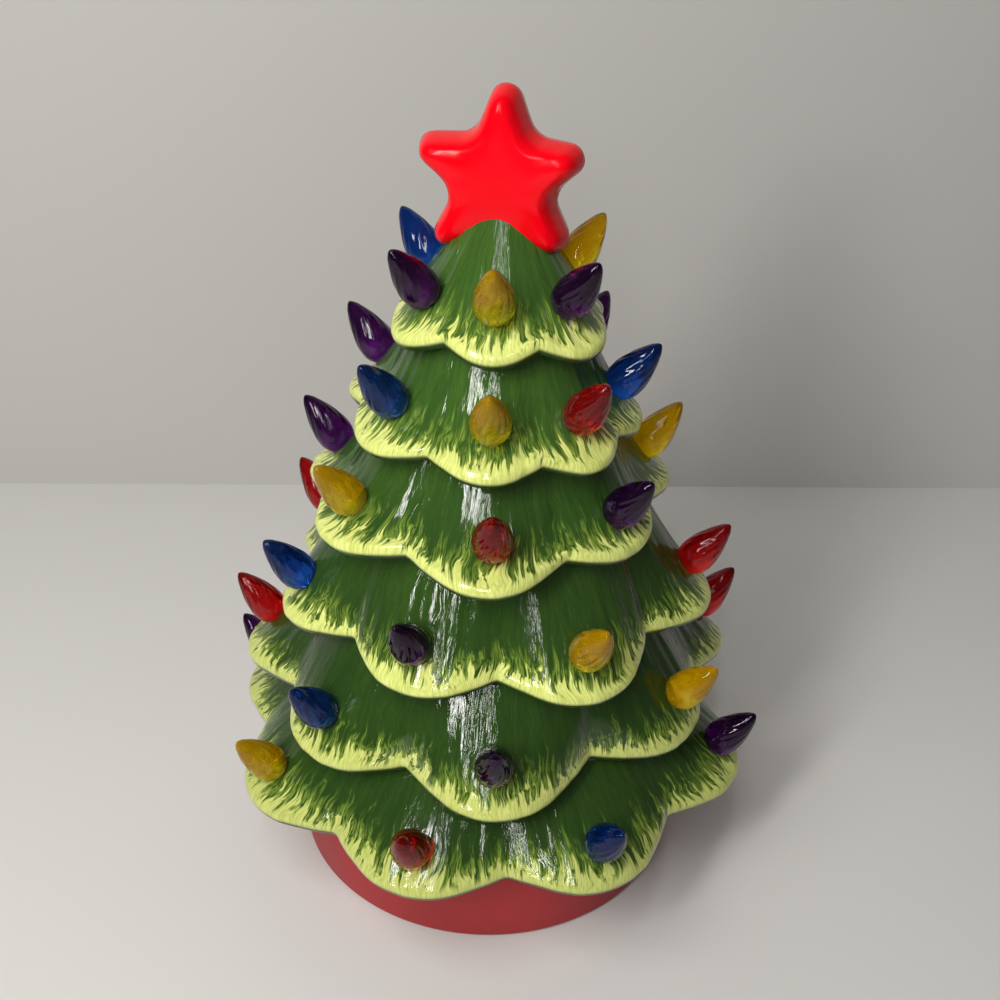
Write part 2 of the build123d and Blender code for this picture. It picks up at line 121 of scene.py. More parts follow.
# Finer form of the glazed tree: mesh steps, cusped notches that lift, and needle grooves
COLUMNS = 960
FLARE_STEPS = 26
LIP_STEPS = 12
UNDERSIDE_STEPS = 5
NOTCH_LIFTS = (3.0, 2.4, 2.6, 2.8, 3.2, 1.6)
NOTCH_LIFT_POWER = 1.6
OUTLINE_EASE = 0.9
OUTLINE_EASE_SPAN = 12
CUSP_SHARE = 0.6
CUSP_POWER = 2.2
GROOVE_PITCH = 2.4
GROOVE_DEPTH = 0.24
GROOVE_SETS = 3
GROOVE_RADIUS_SHARE = 0.8
GROOVE_SLANT = 0.7
GROOVE_LIP_SHARE = 0.5
GROOVE_RUN_IN = 0.25

# Paint of the tree: how far each point counts from the rim, in millimetres
UNDERSIDE_RUN = 20.0
HOLLOW_RIM = -40.0
ROW_SHIFT = 40.0
NOTCH_EDGE = 2.2
EDGE_START = -0.8

# Bulb sizes and flutes
BULB_LENGTH = 17.2
BULB_RADIUS = 5.0
BULB_TILT = 52
BULB_SEAT = 0.6
BULB_SINK = 0.6
BULB_COLUMNS = 108
BULB_BODY_STEPS = 28
BULB_NOSE_STEPS = 9
BULB_NOSE_START = 0.9
BULB_NOSE_REACH = 0.0995
BULB_FLUTES = 12
BULB_TWIST = 1.5
BULB_FLUTE_DEPTH = 0.05
FLUTE_START, FLUTE_RISE = 0.2, 0.3
FLUTE_END, FLUTE_FALL = 0.94, 0.34
BULB_SPIN = 2.4
ROW_SPIN = 1.1

# Star sizes
STAR_REACHES = (27.5, 28.0, 29.4, 28.4, 24.8)
STAR_TIP_ANGLES = (0, 72, 135, 225, 288)
STAR_CREASE_ANGLES = (36, 106, 180, 254, 324)
STAR_WAIST = 12.1
STAR_TIP_ROUND = 3.8
STAR_CREASE_ROUND = 6.0
STAR_EDGE = 4.2
STAR_EASE_STEPS = 30
STAR_THICKNESS = 17.0
STAR_TURN = -12
STAR_RISE = 5.0
STAR_CENTRE_Z = CROWN_Z + STAR_RISE
STAR_COLUMNS = 320


# Node helpers


def new_material(name):
    """An empty node material with a Principled shader; returns the material, its tree and the shader."""
    material = bpy.data.materials.new(name)
    material.use_nodes = True
    tree = material.node_tree
    tree.nodes.clear()
    out = tree.nodes.new("ShaderNodeOutputMaterial")
    shader = tree.nodes.new("ShaderNodeBsdfPrincipled")
    tree.links.new(shader.outputs["BSDF"], out.inputs["Surface"])
    return material, tree, shader


def attach(tree, value, socket):
    """Links a socket or sets a plain value."""
    if isinstance(value, bpy.types.NodeSocket):
        tree.links.new(value, socket)
    else:
        socket.default_value = value


def maths(tree, operation, a, b=0.0, c=0.0):
    """A Math node on up to three values."""
    node = tree.nodes.new("ShaderNodeMath")
    node.operation = operation
    for value, socket in zip((a, b, c), node.inputs):
        attach(tree, value, socket)
    return node.outputs[0]


def ramp(tree, value, low, high, to_low=0.0, to_high=1.0):
    """Smooth step of a value between two limits."""
    node = tree.nodes.new("ShaderNodeMapRange")
    node.interpolation_type = "SMOOTHSTEP"
    for wanted, socket in zip((value, low, high, to_low, to_high), node.inputs):
        attach(tree, wanted, socket)
    return node.outputs[0]


def mix(tree, factor, a, b):
    """Mix of two colours."""
    node = tree.nodes.new("ShaderNodeMix")
    node.data_type = "RGBA"
    attach(tree, factor, node.inputs["Factor"])
    for value, socket in zip((a, b), [s for s in node.inputs if s.type == "RGBA"]):
        attach(tree, (*value, 1.0) if isinstance(value, tuple) else value, socket)
    return [s for s in node.outputs if s.type == "RGBA"][0]


def noise(tree, vector, scale, detail=3.0, rough=0.55, stretch=None):
    """Noise of a vector, after an optional stretch along its axes."""
    if stretch:
        mapping = tree.nodes.new("ShaderNodeMapping")
        mapping.inputs["Scale"].default_value = stretch
        tree.links.new(vector, mapping.inputs["Vector"])
        vector = mapping.outputs["Vector"]
    node = tree.nodes.new("ShaderNodeTexNoise")
    node.inputs["Scale"].default_value = scale
    node.inputs["Detail"].default_value = detail
    node.inputs["Roughness"].default_value = rough
    tree.links.new(vector, node.inputs["Vector"])
    return node.outputs["Fac"]


def attribute(tree, name, kind="Fac"):
    """A value that the mesh carries at its points."""
    node = tree.nodes.new("ShaderNodeAttribute")
    node.attribute_name = name
    return node.outputs[kind]


def wandering(tree, vector, scale, reach):
    """A vector pushed to and fro by slow noise."""
    sway = tree.nodes.new("ShaderNodeTexNoise")
    sway.inputs["Scale"].default_value = scale
    sway.inputs["Detail"].default_value = 1.0
    tree.links.new(vector, sway.inputs["Vector"])
    push = tree.nodes.new("ShaderNodeVectorMath")
    push.operation = "MULTIPLY_ADD"
    tree.links.new(sway.outputs["Color"], push.inputs[0])
    push.inputs[1].default_value = (reach, reach, 0.0)
    tree.links.new(vector, push.inputs[2])
    return push.outputs["Vector"]


def object_place(tree):
    """Place of a point in its object, in metres."""
    return tree.nodes.new("ShaderNodeTexCoord").outputs["Object"]


def bump(tree, shader, height, strength, distance):
    """Fine relief on a shader."""
    node = tree.nodes.new("ShaderNodeBump")
    node.inputs["Strength"].default_value = strength
    node.inputs["Distance"].default_value = distance
    tree.links.new(height, node.inputs["Height"])
    tree.links.new(node.outputs["Normal"], shader.inputs["Normal"])


# Mesh helpers


def smooth_mesh(name, points, faces, material):
    """A smooth-shaded mesh of points in metres."""
    mesh = bpy.data.meshes.new(name)
    mesh.from_pydata([tuple(point) for point in points], [], faces)
    mesh.validate()
    mesh.materials.append(material)
    mesh.polygons.foreach_set("use_smooth", [True] * len(mesh.polygons))
    mesh.update()
    return mesh


def point_values(mesh, name, values):
    """Gives a mesh one value per point."""
    layer = mesh.attributes.new(name, "FLOAT", "POINT")
    layer.data.foreach_set("value", values.reshape(-1).astype(np.float32))


def piece(name, mesh, body, node):
    """An object that rides on a body and stands for a node."""
    item = bpy.data.objects.new(name, mesh)
    scene.collection.objects.link(item)
    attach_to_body(item, body)
    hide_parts(node)
    return item


def grid_faces(columns, rows, close_rows=False):
    """Quads of a grid whose points run column by column and close round."""
    faces = []
    for i in range(columns):
        j = (i + 1) % columns
        for k in range(rows if close_rows else rows - 1):
            m = (k + 1) % rows
            faces.append((i * rows + k, j * rows + k, j * rows + m, i * rows + m))
    return faces


def capped_faces(columns, rows):
    """Grid faces with a fan at each end; the two end points follow the grid's points."""
    faces = grid_faces(columns, rows)
    first = columns * rows
    for i in range(columns):
        j = (i + 1) % columns
        faces.append((first, j * rows, i * rows))
        faces.append((first + 1, i * rows + rows - 1, j * rows + rows - 1))
    return faces


def rounded(corners, radii, steps=9):
    """A closed outline with each corner replaced by an arc of its radius."""
    outline = []
    count = len(corners)
    for k, (corner, radius) in enumerate(zip(corners, radii)):
        a = corners[k - 1] - corner
        b = corners[(k + 1) % count] - corner
        a_long, b_long = np.linalg.norm(a), np.linalg.norm(b)
        a, b = a / a_long, b / b_long
        half = math.acos(max(-1, min(1, a @ b))) / 2
        reach = min(radius / math.tan(half), 0.49 * a_long, 0.49 * b_long)
        centre = corner + (a + b) / np.linalg.norm(a + b) * reach / math.cos(half)
        start, end = corner + a * reach - centre, corner + b * reach - centre
        turn = math.atan2(start[0] * end[1] - start[1] * end[0], start @ end)
        for share in np.linspace(0, 1, steps):
            c, s = math.cos(turn * share), math.sin(turn * share)
            outline.append(centre + np.array((start[0] * c - start[1] * s, start[0] * s + start[1] * c)))
    return np.array(outline)


def direction(degrees):
    """Outward directions in plan; angles count from the front, positive towards +X."""
    turn = np.radians(degrees)
    return np.stack([np.sin(turn), -np.cos(turn)], -1)


# Outlines of the tree

angles = np.arange(COLUMNS) * 360.0 / COLUMNS - 180.0
compass = direction(angles)
plain = np.ones(COLUMNS)


def lobe_ring(row):
    """Angle and reach of a row's tips and notches in turn, where the reach is a share of its radius."""
    turns, reaches = LOBE_ANGLES[row], LOBE_REACHES[row]
    ring = []
    for number, (turn, reach) in enumerate(zip(turns, reaches)):
        after = (number + 1) % len(turns)
        gap = (turns[after] - turn) % 360
        depth = LOBE_DEPTHS[row] * gap * len(turns) / 360
        ring.append((turn, reach))
        ring.append((turn + gap / 2, (1 - depth) * (reach + reaches[after]) / 2))
    return ring


def narrowest(row):
    """Smallest reach of a row's rim."""
    return min(reach for _, reach in lobe_ring(row))


def ripple(share):
    """How much of the lobes shows part of the way down a row."""
    return ROOT_RIPPLE + (1 - ROOT_RIPPLE) * share


def tip_to_notch(row):
    """Share of the way from the nearest tip to the nearest notch, at each column."""
    places = [angle for angle, _ in lobe_ring(row)]
    return np.interp(angles, places, [k % 2 for k in range(len(places))], period=360)


def eased(reach):
    """Values round the tree, smoothed over a few columns."""
    span = np.arange(-OUTLINE_EASE_SPAN, OUTLINE_EASE_SPAN + 1)
    weights = np.exp(-0.5 * (span * 360.0 / COLUMNS / OUTLINE_EASE) ** 2)
    return sum(w * np.roll(reach, k) for w, k in zip(weights / weights.sum(), span))


def row_outline(row):
    """Reach of a row's rim at each column: arcs through its tips and notches, drawn to cusps and eased."""
    ring = lobe_ring(row)
    places = [angle for angle, _ in ring]
    sharp = tip_to_notch(row) ** CUSP_POWER
    tips = np.interp(angles, places[::2], [size for _, size in ring[::2]], period=360)
    dips = np.interp(angles, places[1::2], [size for _, size in ring[1::2]], period=360)
    nexts = ring[1:] + [(ring[0][0] + 360, ring[0][1])]
    mids = [((a + b) / 2, (r + s) / 2) for (a, r), (b, s) in zip(ring, nexts)]
    befores = [(mids[-1][0] - 360, mids[-1][1])] + mids[:-1]
    reach = np.zeros(COLUMNS)
    for before, turn, after in zip(befores, ring, mids):
        a, b, c = [direction(angle) * size for angle, size in (before, turn, after)]
        centre = np.linalg.solve(2 * np.array([b - a, c - a]), [b @ b - a @ a, c @ c - a @ a])
        size = np.linalg.norm(b - centre)
        side = 1 if centre @ b < b @ b else -1
        here = (angles - before[0]) % 360 < after[0] - before[0]
        along = compass[here] @ centre
        reach[here] = along + side * np.sqrt(along**2 - centre @ centre + size**2)
    reach += CUSP_SHARE * (tips * (1 - sharp) + dips * sharp - reach)
    return eased(reach)


def row_notch(row):
    """0 at a row's tips, rising to 1 in its notches, at each column."""
    share = tip_to_notch(row)
    smooth = (1 - np.cos(math.pi * share)) / 2
    return smooth + CUSP_SHARE * (share**CUSP_POWER - smooth)


def row_root(row):
    """Radius and height where a row's wall leaves the row above it."""
    if row == 0:
        return CROWN_RADIUS, CROWN_Z
    return TIER_RADII[row - 1] * narrowest(row - 1) - ROOT_INSET, TIER_HEIGHTS[row - 1]


def flare_point(row, share):
    """Point along a row's flare, from its root at 0 to its lip at 1."""
    turn = math.radians(LIP_TURN)
    root = np.array(row_root(row))
    lip_radius = TIER_RADII[row] - LIP * (1 - math.cos(turn))
    lip_top = np.array((lip_radius, TIER_HEIGHTS[row] + LIP * math.sin(turn)))
    bend = root + (lip_top - root) * (FLARE_RADII[row], FLARE_HEIGHTS[row])
    return (1 - share) ** 2 * root + 2 * share * (1 - share) * bend + share**2 * lip_top


def grooves(random, radius):
    """Smooth random values round the tree, one per column, with a groove's pitch at the given radius."""
    knots = int(2 * math.pi * radius / GROOVE_PITCH)
    values = random.uniform(-1, 1, knots)
    place = np.arange(COLUMNS) * knots / COLUMNS
    low = place.astype(int) % knots
    share = place - place.astype(int)
    share = share * share * (3 - 2 * share)
    return values[low] * (1 - share) + values[(low + 1) % knots] * share


# Glazed tree: levels of radius, height, distance from the rim and row, down the outside and up the hollow

outlines = [row_outline(row) for row in range(ROWS)]
notches = [row_notch(row) for row in range(ROWS)]


def flare_levels(row, waves):
    """Levels down one row's grooved flare, from its root to its lip."""
    lift = NOTCH_LIFTS[row] * notches[row]
    shares = np.linspace(0, 1, FLARE_STEPS)
    path = [flare_point(row, share) for share in shares]
    runs = np.append(0, np.cumsum([np.linalg.norm(b - a) for a, b in zip(path, path[1:])]))
    lip_run = LIP * math.radians(LIP_TURN)
    spans = GROOVE_SETS - 1
    levels = []
    for share, point, run in zip(shares, path, runs):
        low = min(int(spans * share), spans - 1)
        between = spans * share - low
        wave = waves[low] * (1 - between) + waves[low + 1] * between
        swell = GROOVE_SLANT * GROOVE_DEPTH * min(1, share / GROOVE_RUN_IN) * wave
        spread = 1 + (outlines[row] - 1) * ripple(share)
        rise = point[1] + lift * share**NOTCH_LIFT_POWER + swell
        levels.append((point[0] * spread + swell, rise, runs[-1] - run + lip_run, row))
    return levels


def row_surface(row, random):
    """Levels down one row's flare, round its lip and back to the next row's root."""
    radius, height = TIER_RADII[row], TIER_HEIGHTS[row]
    outline, lift = outlines[row], NOTCH_LIFTS[row] * notches[row]
    waves = [grooves(random, GROOVE_RADIUS_SHARE * radius) for _ in range(GROOVE_SETS)]
    levels = flare_levels(row, waves)
    for turn in np.radians(np.linspace(LIP_TURN, -90, LIP_STEPS))[1:]:
        reach = (radius - LIP + LIP * math.cos(turn)) * outline
        ease = GROOVE_LIP_SHARE * GROOVE_DEPTH * max(0, math.cos(turn)) * (waves[-1] - 1)
        levels.append((reach + ease, height + LIP * math.sin(turn) + lift, LIP * turn, row))
    if row + 1 < ROWS:
        end, end_spread = row_root(row + 1), 1 + (outlines[row + 1] - 1) * ripple(0)
    else:
        end, end_spread = (FOOT_OUTER, FOOT_Z + FOOT_BEVEL), plain
    for share in np.arange(1, UNDERSIDE_STEPS) / UNDERSIDE_STEPS:
        reach = (radius - LIP) * outline * (1 - share) + end[0] * end_spread * share
        rise = (height - LIP + lift) * (1 - share) + end[1] * share
        levels.append((reach, rise, -LIP * math.pi / 2 - UNDERSIDE_RUN * share, row))
    return levels


def hollow_profile():
    """Radius and height of the foot's ring and the hollow above it."""
    profile = [(FOOT_OUTER, FOOT_Z + FOOT_BEVEL), (FOOT_OUTER, FOOT_Z), (FOOT_INNER, FOOT_Z)]
    profile.append((FOOT_INNER, FOOT_Z + FOOT_HEIGHT))
    for row in range(ROWS - 1, 0, -1):
        radius, height = row_root(row)
        profile.append((radius * (1 + (narrowest(row) - 1) * ripple(0)) - SHELL_WALL, height))
    return profile + [(CROWN_BORE, CROWN_Z - CROWN_BORE_DEPTH), (CROWN_BORE, CROWN_Z)]


# Glaze tones: greens by stroke, patch and fine hair, with painted shade darker towards the foot, then the
# pale tips, also with painted shade low down, and the shaded underside
GREEN_STROKES = ((0.037, 0.094, 0.0135), (0.050, 0.120, 0.0170))
GREEN_PATCH = (0.027, 0.076, 0.014)
GREEN_HAIR = (0.095, 0.190, 0.028)
# Painted shade: the tone the greens darken towards near the foot
GREEN_FOOT_SHADE = (0.006, 0.016, 0.003)
OLIVE = (0.20, 0.30, 0.040)
TIP_TONES = ((0.56, 0.64, 0.15), (0.76, 0.81, 0.25))
# Painted shade: the tone the pale tips darken towards on the lowest rows
TIP_FOOT_SHADE = (0.14, 0.16, 0.04)
LIP_SHADE = (0.030, 0.062, 0.014)
UNDERSIDE_SHADE = (0.018, 0.050, 0.014)


def glaze_material():
    """Green glaze with brushed strokes and pale, bristled rims; painted shade makes it darker towards the
    foot.
    """
    material, tree, shader = new_material("green_glaze_look")
    rim = attribute(tree, "rim")
    edge = attribute(tree, "edge")
    brush = wandering(tree, attribute(tree, "brush", "Vector"), scale=0.11, reach=5.0)
    stroke = noise(tree, brush, 1.0, 2.0, 0.5, stretch=(0.62, 0.62, 0.05))
    hair = noise(tree, brush, 1.0, 2.0, 0.5, stretch=(2.2, 2.2, 0.13))
    clump = noise(tree, brush, 1.0, 1.0, 0.5, stretch=(0.13, 0.13, 0.03))
    patch = noise(tree, brush, 1.0, 2.0, 0.5, stretch=(0.05, 0.05, 0.04))
    axes = tree.nodes.new("ShaderNodeSeparateXYZ")
    tree.links.new(object_place(tree), axes.inputs["Vector"])
    height = axes.outputs["Z"]

    greens = mix(tree, ramp(tree, stroke, 0.35, 0.68), *GREEN_STROKES)
    greens = mix(tree, ramp(tree, patch, 0.4, 0.75, 0.0, 0.5), greens, GREEN_PATCH)
    greens = mix(tree, ramp(tree, hair, 0.58, 0.72, 0.0, 0.3), greens, GREEN_HAIR)
    # Painted shade: the greens darken towards the foot, from 165 mm of height down to 70 mm
    greens = mix(tree, ramp(tree, height, 0.07, 0.165, 0.5, 0.0), greens, GREEN_FOOT_SHADE)

    olive_reach = maths(tree, "MULTIPLY_ADD", stroke, 30.0, -8.0)
    olive_reach = maths(tree, "MULTIPLY_ADD", clump, 8.0, olive_reach)
    olive = ramp(tree, maths(tree, "SUBTRACT", olive_reach, edge), -3.0, 4.0, 0.0, 0.8)
    olive = maths(tree, "MULTIPLY", olive, ramp(tree, hair, 0.36, 0.58))
    greens = mix(tree, olive, greens, OLIVE)

    tip_reach = maths(tree, "MULTIPLY_ADD", stroke, 26.0, -15.0)
    tip_reach = maths(tree, "MULTIPLY_ADD", hair, 7.0, tip_reach)
    tip_reach = maths(tree, "MULTIPLY_ADD", clump, 6.0, tip_reach)
    tip_reach = maths(tree, "MAXIMUM", tip_reach, 1.6)
    tips = mix(tree, ramp(tree, hair, 0.35, 0.65), *TIP_TONES)
    # Painted shade: the pale tips darken on the lowest rows, from 90 mm of height down to 30 mm
    tips = mix(tree, ramp(tree, height, 0.03, 0.09, 0.3, 0.0), tips, TIP_FOOT_SHADE)
    colour = mix(tree, ramp(tree, maths(tree, "SUBTRACT", tip_reach, edge), -1.6, 1.6), greens, tips)
    colour = mix(tree, ramp(tree, rim, 0.1, -1.0), colour, LIP_SHADE)
    colour = mix(tree, ramp(tree, rim, -1.2, -3.0), colour, UNDERSIDE_SHADE)

    tree.links.new(colour, shader.inputs["Base Color"])
    tree.links.new(ramp(tree, patch, 0.3, 0.7, 0.05, 0.09), shader.inputs["Roughness"])
    shader.inputs["IOR"].default_value = 1.5
    bump(tree, shader, maths(tree, "MULTIPLY_ADD", hair, 0.4, stroke), 0.3, 0.0003)
    return material


def make_tree():
    """The glazed tree with its distances from the rim and its brush directions as attributes."""
    random = np.random.RandomState(7)
    levels = [level for row in range(ROWS) for level in row_surface(row, random)]
    levels += [(r * plain, z * plain, HOLLOW_RIM, 0) for r, z in hollow_profile()]
    radii = np.array([level[0] for level in levels]).T
    heights = np.array([level[1] * plain for level in levels]).T
    points = np.stack([compass[:, :1] * radii, compass[:, 1:] * radii, heights], -1).reshape(-1, 3) * MM
    faces = grid_faces(COLUMNS, len(levels), close_rows=True)
    mesh = smooth_mesh("glazed_tree", points, faces, glaze_material())
    rims = np.array([level[2] for level in levels]) * plain[:, None]
    edges = rims + NOTCH_EDGE * np.array([notches[level[3]] for level in levels]).T + EDGE_START
    sizes = np.array([TIER_RADII[level[3]] for level in levels])
    shifts = np.array([ROW_SHIFT * level[3] for level in levels])
    brushes = np.stack([compass[:, :1] * sizes, compass[:, 1:] * sizes, rims + shifts], -1)
    point_values(mesh, "rim", rims)
    point_values(mesh, "edge", edges)
    layer = mesh.attributes.new("brush", "FLOAT_VECTOR", "POINT")
    layer.data.foreach_set("vector", brushes.reshape(-1).astype(np.float32))
    piece("glazed_tree", mesh, "tree", "tree_shell")


make_tree()

# Twist bulbs: deep tint and bright tint of the painted glow, and clearness, of each colour, and radius
# shares along the length

BULB_TINTS = {
    "yellow": ((0.74, 0.42, 0.001), (1.0, 0.88, 0.01)),
    "blue": ((0.004, 0.035, 0.22), (0.012, 0.15, 0.72)),
    "purple": ((0.040, 0.004, 0.065), (0.24, 0.024, 0.38)),
    "red": ((0.40, 0.004, 0.006), (0.92, 0.018, 0.018)),
}
BULB_CLEARNESS = {"yellow": 0.7, "blue": 0.82, "purple": 0.86, "red": 0.78}
BULB_PROFILE = (
    (0.0, 0.62), (0.03, 0.74), (0.08, 0.87), (0.15, 0.96), (0.25, 1.0), (0.36, 0.985), (0.48, 0.905),
    (0.60, 0.785), (0.72, 0.635), (0.82, 0.485), (0.90, 0.34), (0.955, 0.21), (0.985, 0.11), (1.0, 0.0),
)
# Painted glow: light painted into the bulbs' tint, the bulbs being unlit; strongest at the seat and on the
# side towards this direction, away from the window
PAINTED_GLOW_SIDE = (0.42, -0.10, -0.90)
PAINTED_GLOW_AT_SEAT = 1.15
PAINTED_GLOW_FALL = 0.75


def bulb_shape():
    """Points and faces of a fluted teardrop that stands on the origin, in metres."""
    shares, sizes = np.array(BULB_PROFILE).T
    nose = np.sin(np.linspace(0.12, 1, BULB_NOSE_STEPS) * math.pi / 2)
    places = np.append(
        np.linspace(0, BULB_NOSE_START, BULB_BODY_STEPS), BULB_NOSE_START + BULB_NOSE_REACH * nose
    )
    sizes = np.interp(places, shares, sizes)
    for _ in range(2):
        sizes[1:-1] = 0.25 * sizes[:-2] + 0.5 * sizes[1:-1] + 0.25 * sizes[2:]
    rise = np.clip((places - FLUTE_START) / FLUTE_RISE, 0, 1)
    fade = rise * np.clip((FLUTE_END - places) / FLUTE_FALL, 0, 1)
    points = []
    for turn in np.arange(BULB_COLUMNS) * 2 * math.pi / BULB_COLUMNS:
        ridge = np.abs(np.cos(BULB_FLUTES / 2 * (turn - BULB_TWIST * places))) - 1
        radius = BULB_RADIUS * sizes * (1 + BULB_FLUTE_DEPTH * fade * ridge)
        points += [
            (r * math.cos(turn) * MM, r * math.sin(turn) * MM, BULB_LENGTH * place * MM)
            for r, place in zip(radius, places)
        ]
    points += [(0, 0, 0), (0, 0, BULB_LENGTH * MM)]
    return points, capped_faces(BULB_COLUMNS, len(places))


def painted_bulb_glow(points, place):
    """Painted glow at each point of a bulb, standing in for light gathered inside it: most near the seat and
    on the side away from the window.
    """
    across = np.array(points) * (1, 1, 0) / (BULB_RADIUS * MM)
    along = np.array(points)[:, 2] / (BULB_LENGTH * MM)
    turned = across @ np.array(place.to_3x3()).T
    return (0.5 + 0.5 * turned @ PAINTED_GLOW_SIDE) * (PAINTED_GLOW_AT_SEAT - PAINTED_GLOW_FALL * along)


def bulb_material(colour):
    """Clear coloured plastic with flow marks in its gloss and tint, and a painted glow from the deep to the
    bright tint.
    """
    material, tree, shader = new_material(f"{colour}_bulb_look")
    deep, bright = BULB_TINTS[colour]
    flow = noise(tree, object_place(tree), 260.0, 2.0)
    # Painted glow, with flow noise, mixes each bulb from its deep tint to its bright tint
    painted_glow = maths(tree, "MULTIPLY_ADD", flow, 0.9, maths(tree, "ADD", attribute(tree, "painted_glow"), -0.45))
    tree.links.new(mix(tree, ramp(tree, painted_glow, 0.35, 0.95), deep, bright), shader.inputs["Base Color"])
    tree.links.new(ramp(tree, flow, 0.3, 0.7, 0.02, 0.05), shader.inputs["Roughness"])
    shader.inputs["IOR"].default_value = 1.36
    shader.inputs["Transmission Weight"].default_value = BULB_CLEARNESS[colour]
    return material


def bulb_place(row, number):
    """Place of a bulb on its lobe, with local Z along the bulb."""
    angle = LOBE_ANGLES[row][number]
    radius, height = flare_point(row, BULB_SEAT)
    radius *= 1 + (LOBE_REACHES[row][number] - 1) * ripple(BULB_SEAT)
    tilt = math.radians(BULB_TILT)
    out = Vector((*direction(angle), 0))
    side = Vector((*direction(angle + 90), 0))
    axis = out * math.cos(tilt) + Vector((0, 0, math.sin(tilt)))
    place = Matrix((side, axis.cross(side), axis)).transposed().to_4x4()
    place.translation = (out * radius + Vector((0, 0, height)) - axis * BULB_SINK) * MM
    return place @ Matrix.Rotation(BULB_SPIN * number + ROW_SPIN * row, 4, "Z")


def make_bulbs():
    """One fluted bulb on each lobe, in its node's colour."""
    points, faces = bulb_shape()
    materials = {colour: bulb_material(colour) for colour in BULB_TINTS}
    for row, colours in enumerate(BULB_COLOURS):
        for number, colour in enumerate(colours):
            node = f"{colour}_bulb_{row + 1}_{number + 1}"
            place = bulb_place(row, number)
            placed = [place @ Vector(point) for point in points]
            mesh = smooth_mesh(f"twist_{node}", placed, faces, materials[colour])
            # Each point's painted glow goes to the bulb's material
            point_values(mesh, "painted_glow", painted_bulb_glow(points, place))
            piece(f"twist_{node}", mesh, "tree", node)


make_bulbs()

# Star: tones, and the rings of its face as shares of its outline, closer together near the edge

STAR_TONES = ((0.80, 0.0003, 0.006), (0.86, 0.0006, 0.009))
STAR_SCALES = np.concatenate([np.linspace(0.06, 0.7, 14), np.linspace(0.74, 1.0, 16)])


def star_outline():
    """Rounded outline of the star about its centre, in millimetres, at even steps."""
    corners, radii = [], []
    for tip, reach, crease in zip(STAR_TIP_ANGLES, STAR_REACHES, STAR_CREASE_ANGLES):
        for turn, size, ease in ((tip, reach, STAR_TIP_ROUND), (crease, STAR_WAIST, STAR_CREASE_ROUND)):
            turn = math.radians(turn)
            corners.append(np.array((-size * math.sin(turn), size * math.cos(turn))))
            radii.append(ease)
    ring = rounded(corners, radii)
    closed = np.append(ring, ring[:1], 0)
    runs = np.append(0, np.cumsum(np.linalg.norm(np.diff(closed, axis=0), axis=1)))
    even = np.linspace(0, runs[-1], STAR_COLUMNS, endpoint=False)
    return np.stack([np.interp(even, runs, closed[:, 0]), np.interp(even, runs, closed[:, 1])], -1)


def star_depths(ring):
    """Half thickness of the star on its rings: flat in the middle and rounded off at the edge."""
    half = STAR_THICKNESS / 2
    depths = np.zeros((len(ring), len(STAR_SCALES)))
    for k, scale in enumerate(STAR_SCALES):
        gaps = np.linalg.norm(ring[:, None] * scale - ring[None], axis=2).min(1)
        depths[:, k] = half * np.sqrt(1 - (1 - np.clip(gaps / STAR_EDGE, 0, 1)) ** 2)
    for _ in range(STAR_EASE_STEPS):
        around = (np.roll(depths, 1, 0) + np.roll(depths, -1, 0)) / 2
        across = (depths[:, :-2] + depths[:, 2:]) / 2
        depths[:, 1:-1] = 0.5 * depths[:, 1:-1] + 0.25 * around[:, 1:-1] + 0.25 * across
    return depths


def star_material():
    """Red glaze with a soft gloss."""
    material, tree, shader = new_material("red_glaze_look")
    place = object_place(tree)
    wash = noise(tree, place, 60.0, 3.0)
    tree.links.new(mix(tree, ramp(tree, wash, 0.3, 0.7), *STAR_TONES), shader.inputs["Base Color"])
    tree.links.new(ramp(tree, wash, 0.3, 0.7, 0.16, 0.22), shader.inputs["Roughness"])
    shader.inputs["Specular IOR Level"].default_value = 0.2
    bump(tree, shader, noise(tree, place, 140.0, 2.0), 0.10, 0.0005)
    return material


def make_star():
    """The plump star, from rings over its front face and back over its rear face."""
    ring = star_outline()
    depths = star_depths(ring)
    depths = np.concatenate([depths, -depths[:, ::-1][:, 1:]], 1)
    layers = np.append(STAR_SCALES, STAR_SCALES[::-1][1:])
    front = np.array((*direction(STAR_TURN), 0))
    side = np.array((*direction(STAR_TURN + 90), 0))
    centre = np.array((0, 0, STAR_CENTRE_Z))
    columns = np.zeros((len(ring), len(layers), 3))
    for k, scale in enumerate(layers):
        flat = ring * scale
        columns[:, k] = centre + side * flat[:, :1] + front * depths[:, k : k + 1]
        columns[:, k, 2] += flat[:, 1]
    half = STAR_THICKNESS / 2
    ends = [centre + front * half, centre - front * half]
    points = np.concatenate([columns.reshape(-1, 3), ends]) * MM
    mesh = smooth_mesh("glazed_star", points, capped_faces(len(ring), len(layers)), star_material())
    piece("glazed_star", mesh, "tree", "star_topper")


make_star()

# Base, turned from its section

BASE_TONES = ((0.33, 0.012, 0.016), (0.40, 0.017, 0.022))
DRUM_EASE = 1.2
DRUM_COLUMNS = 256


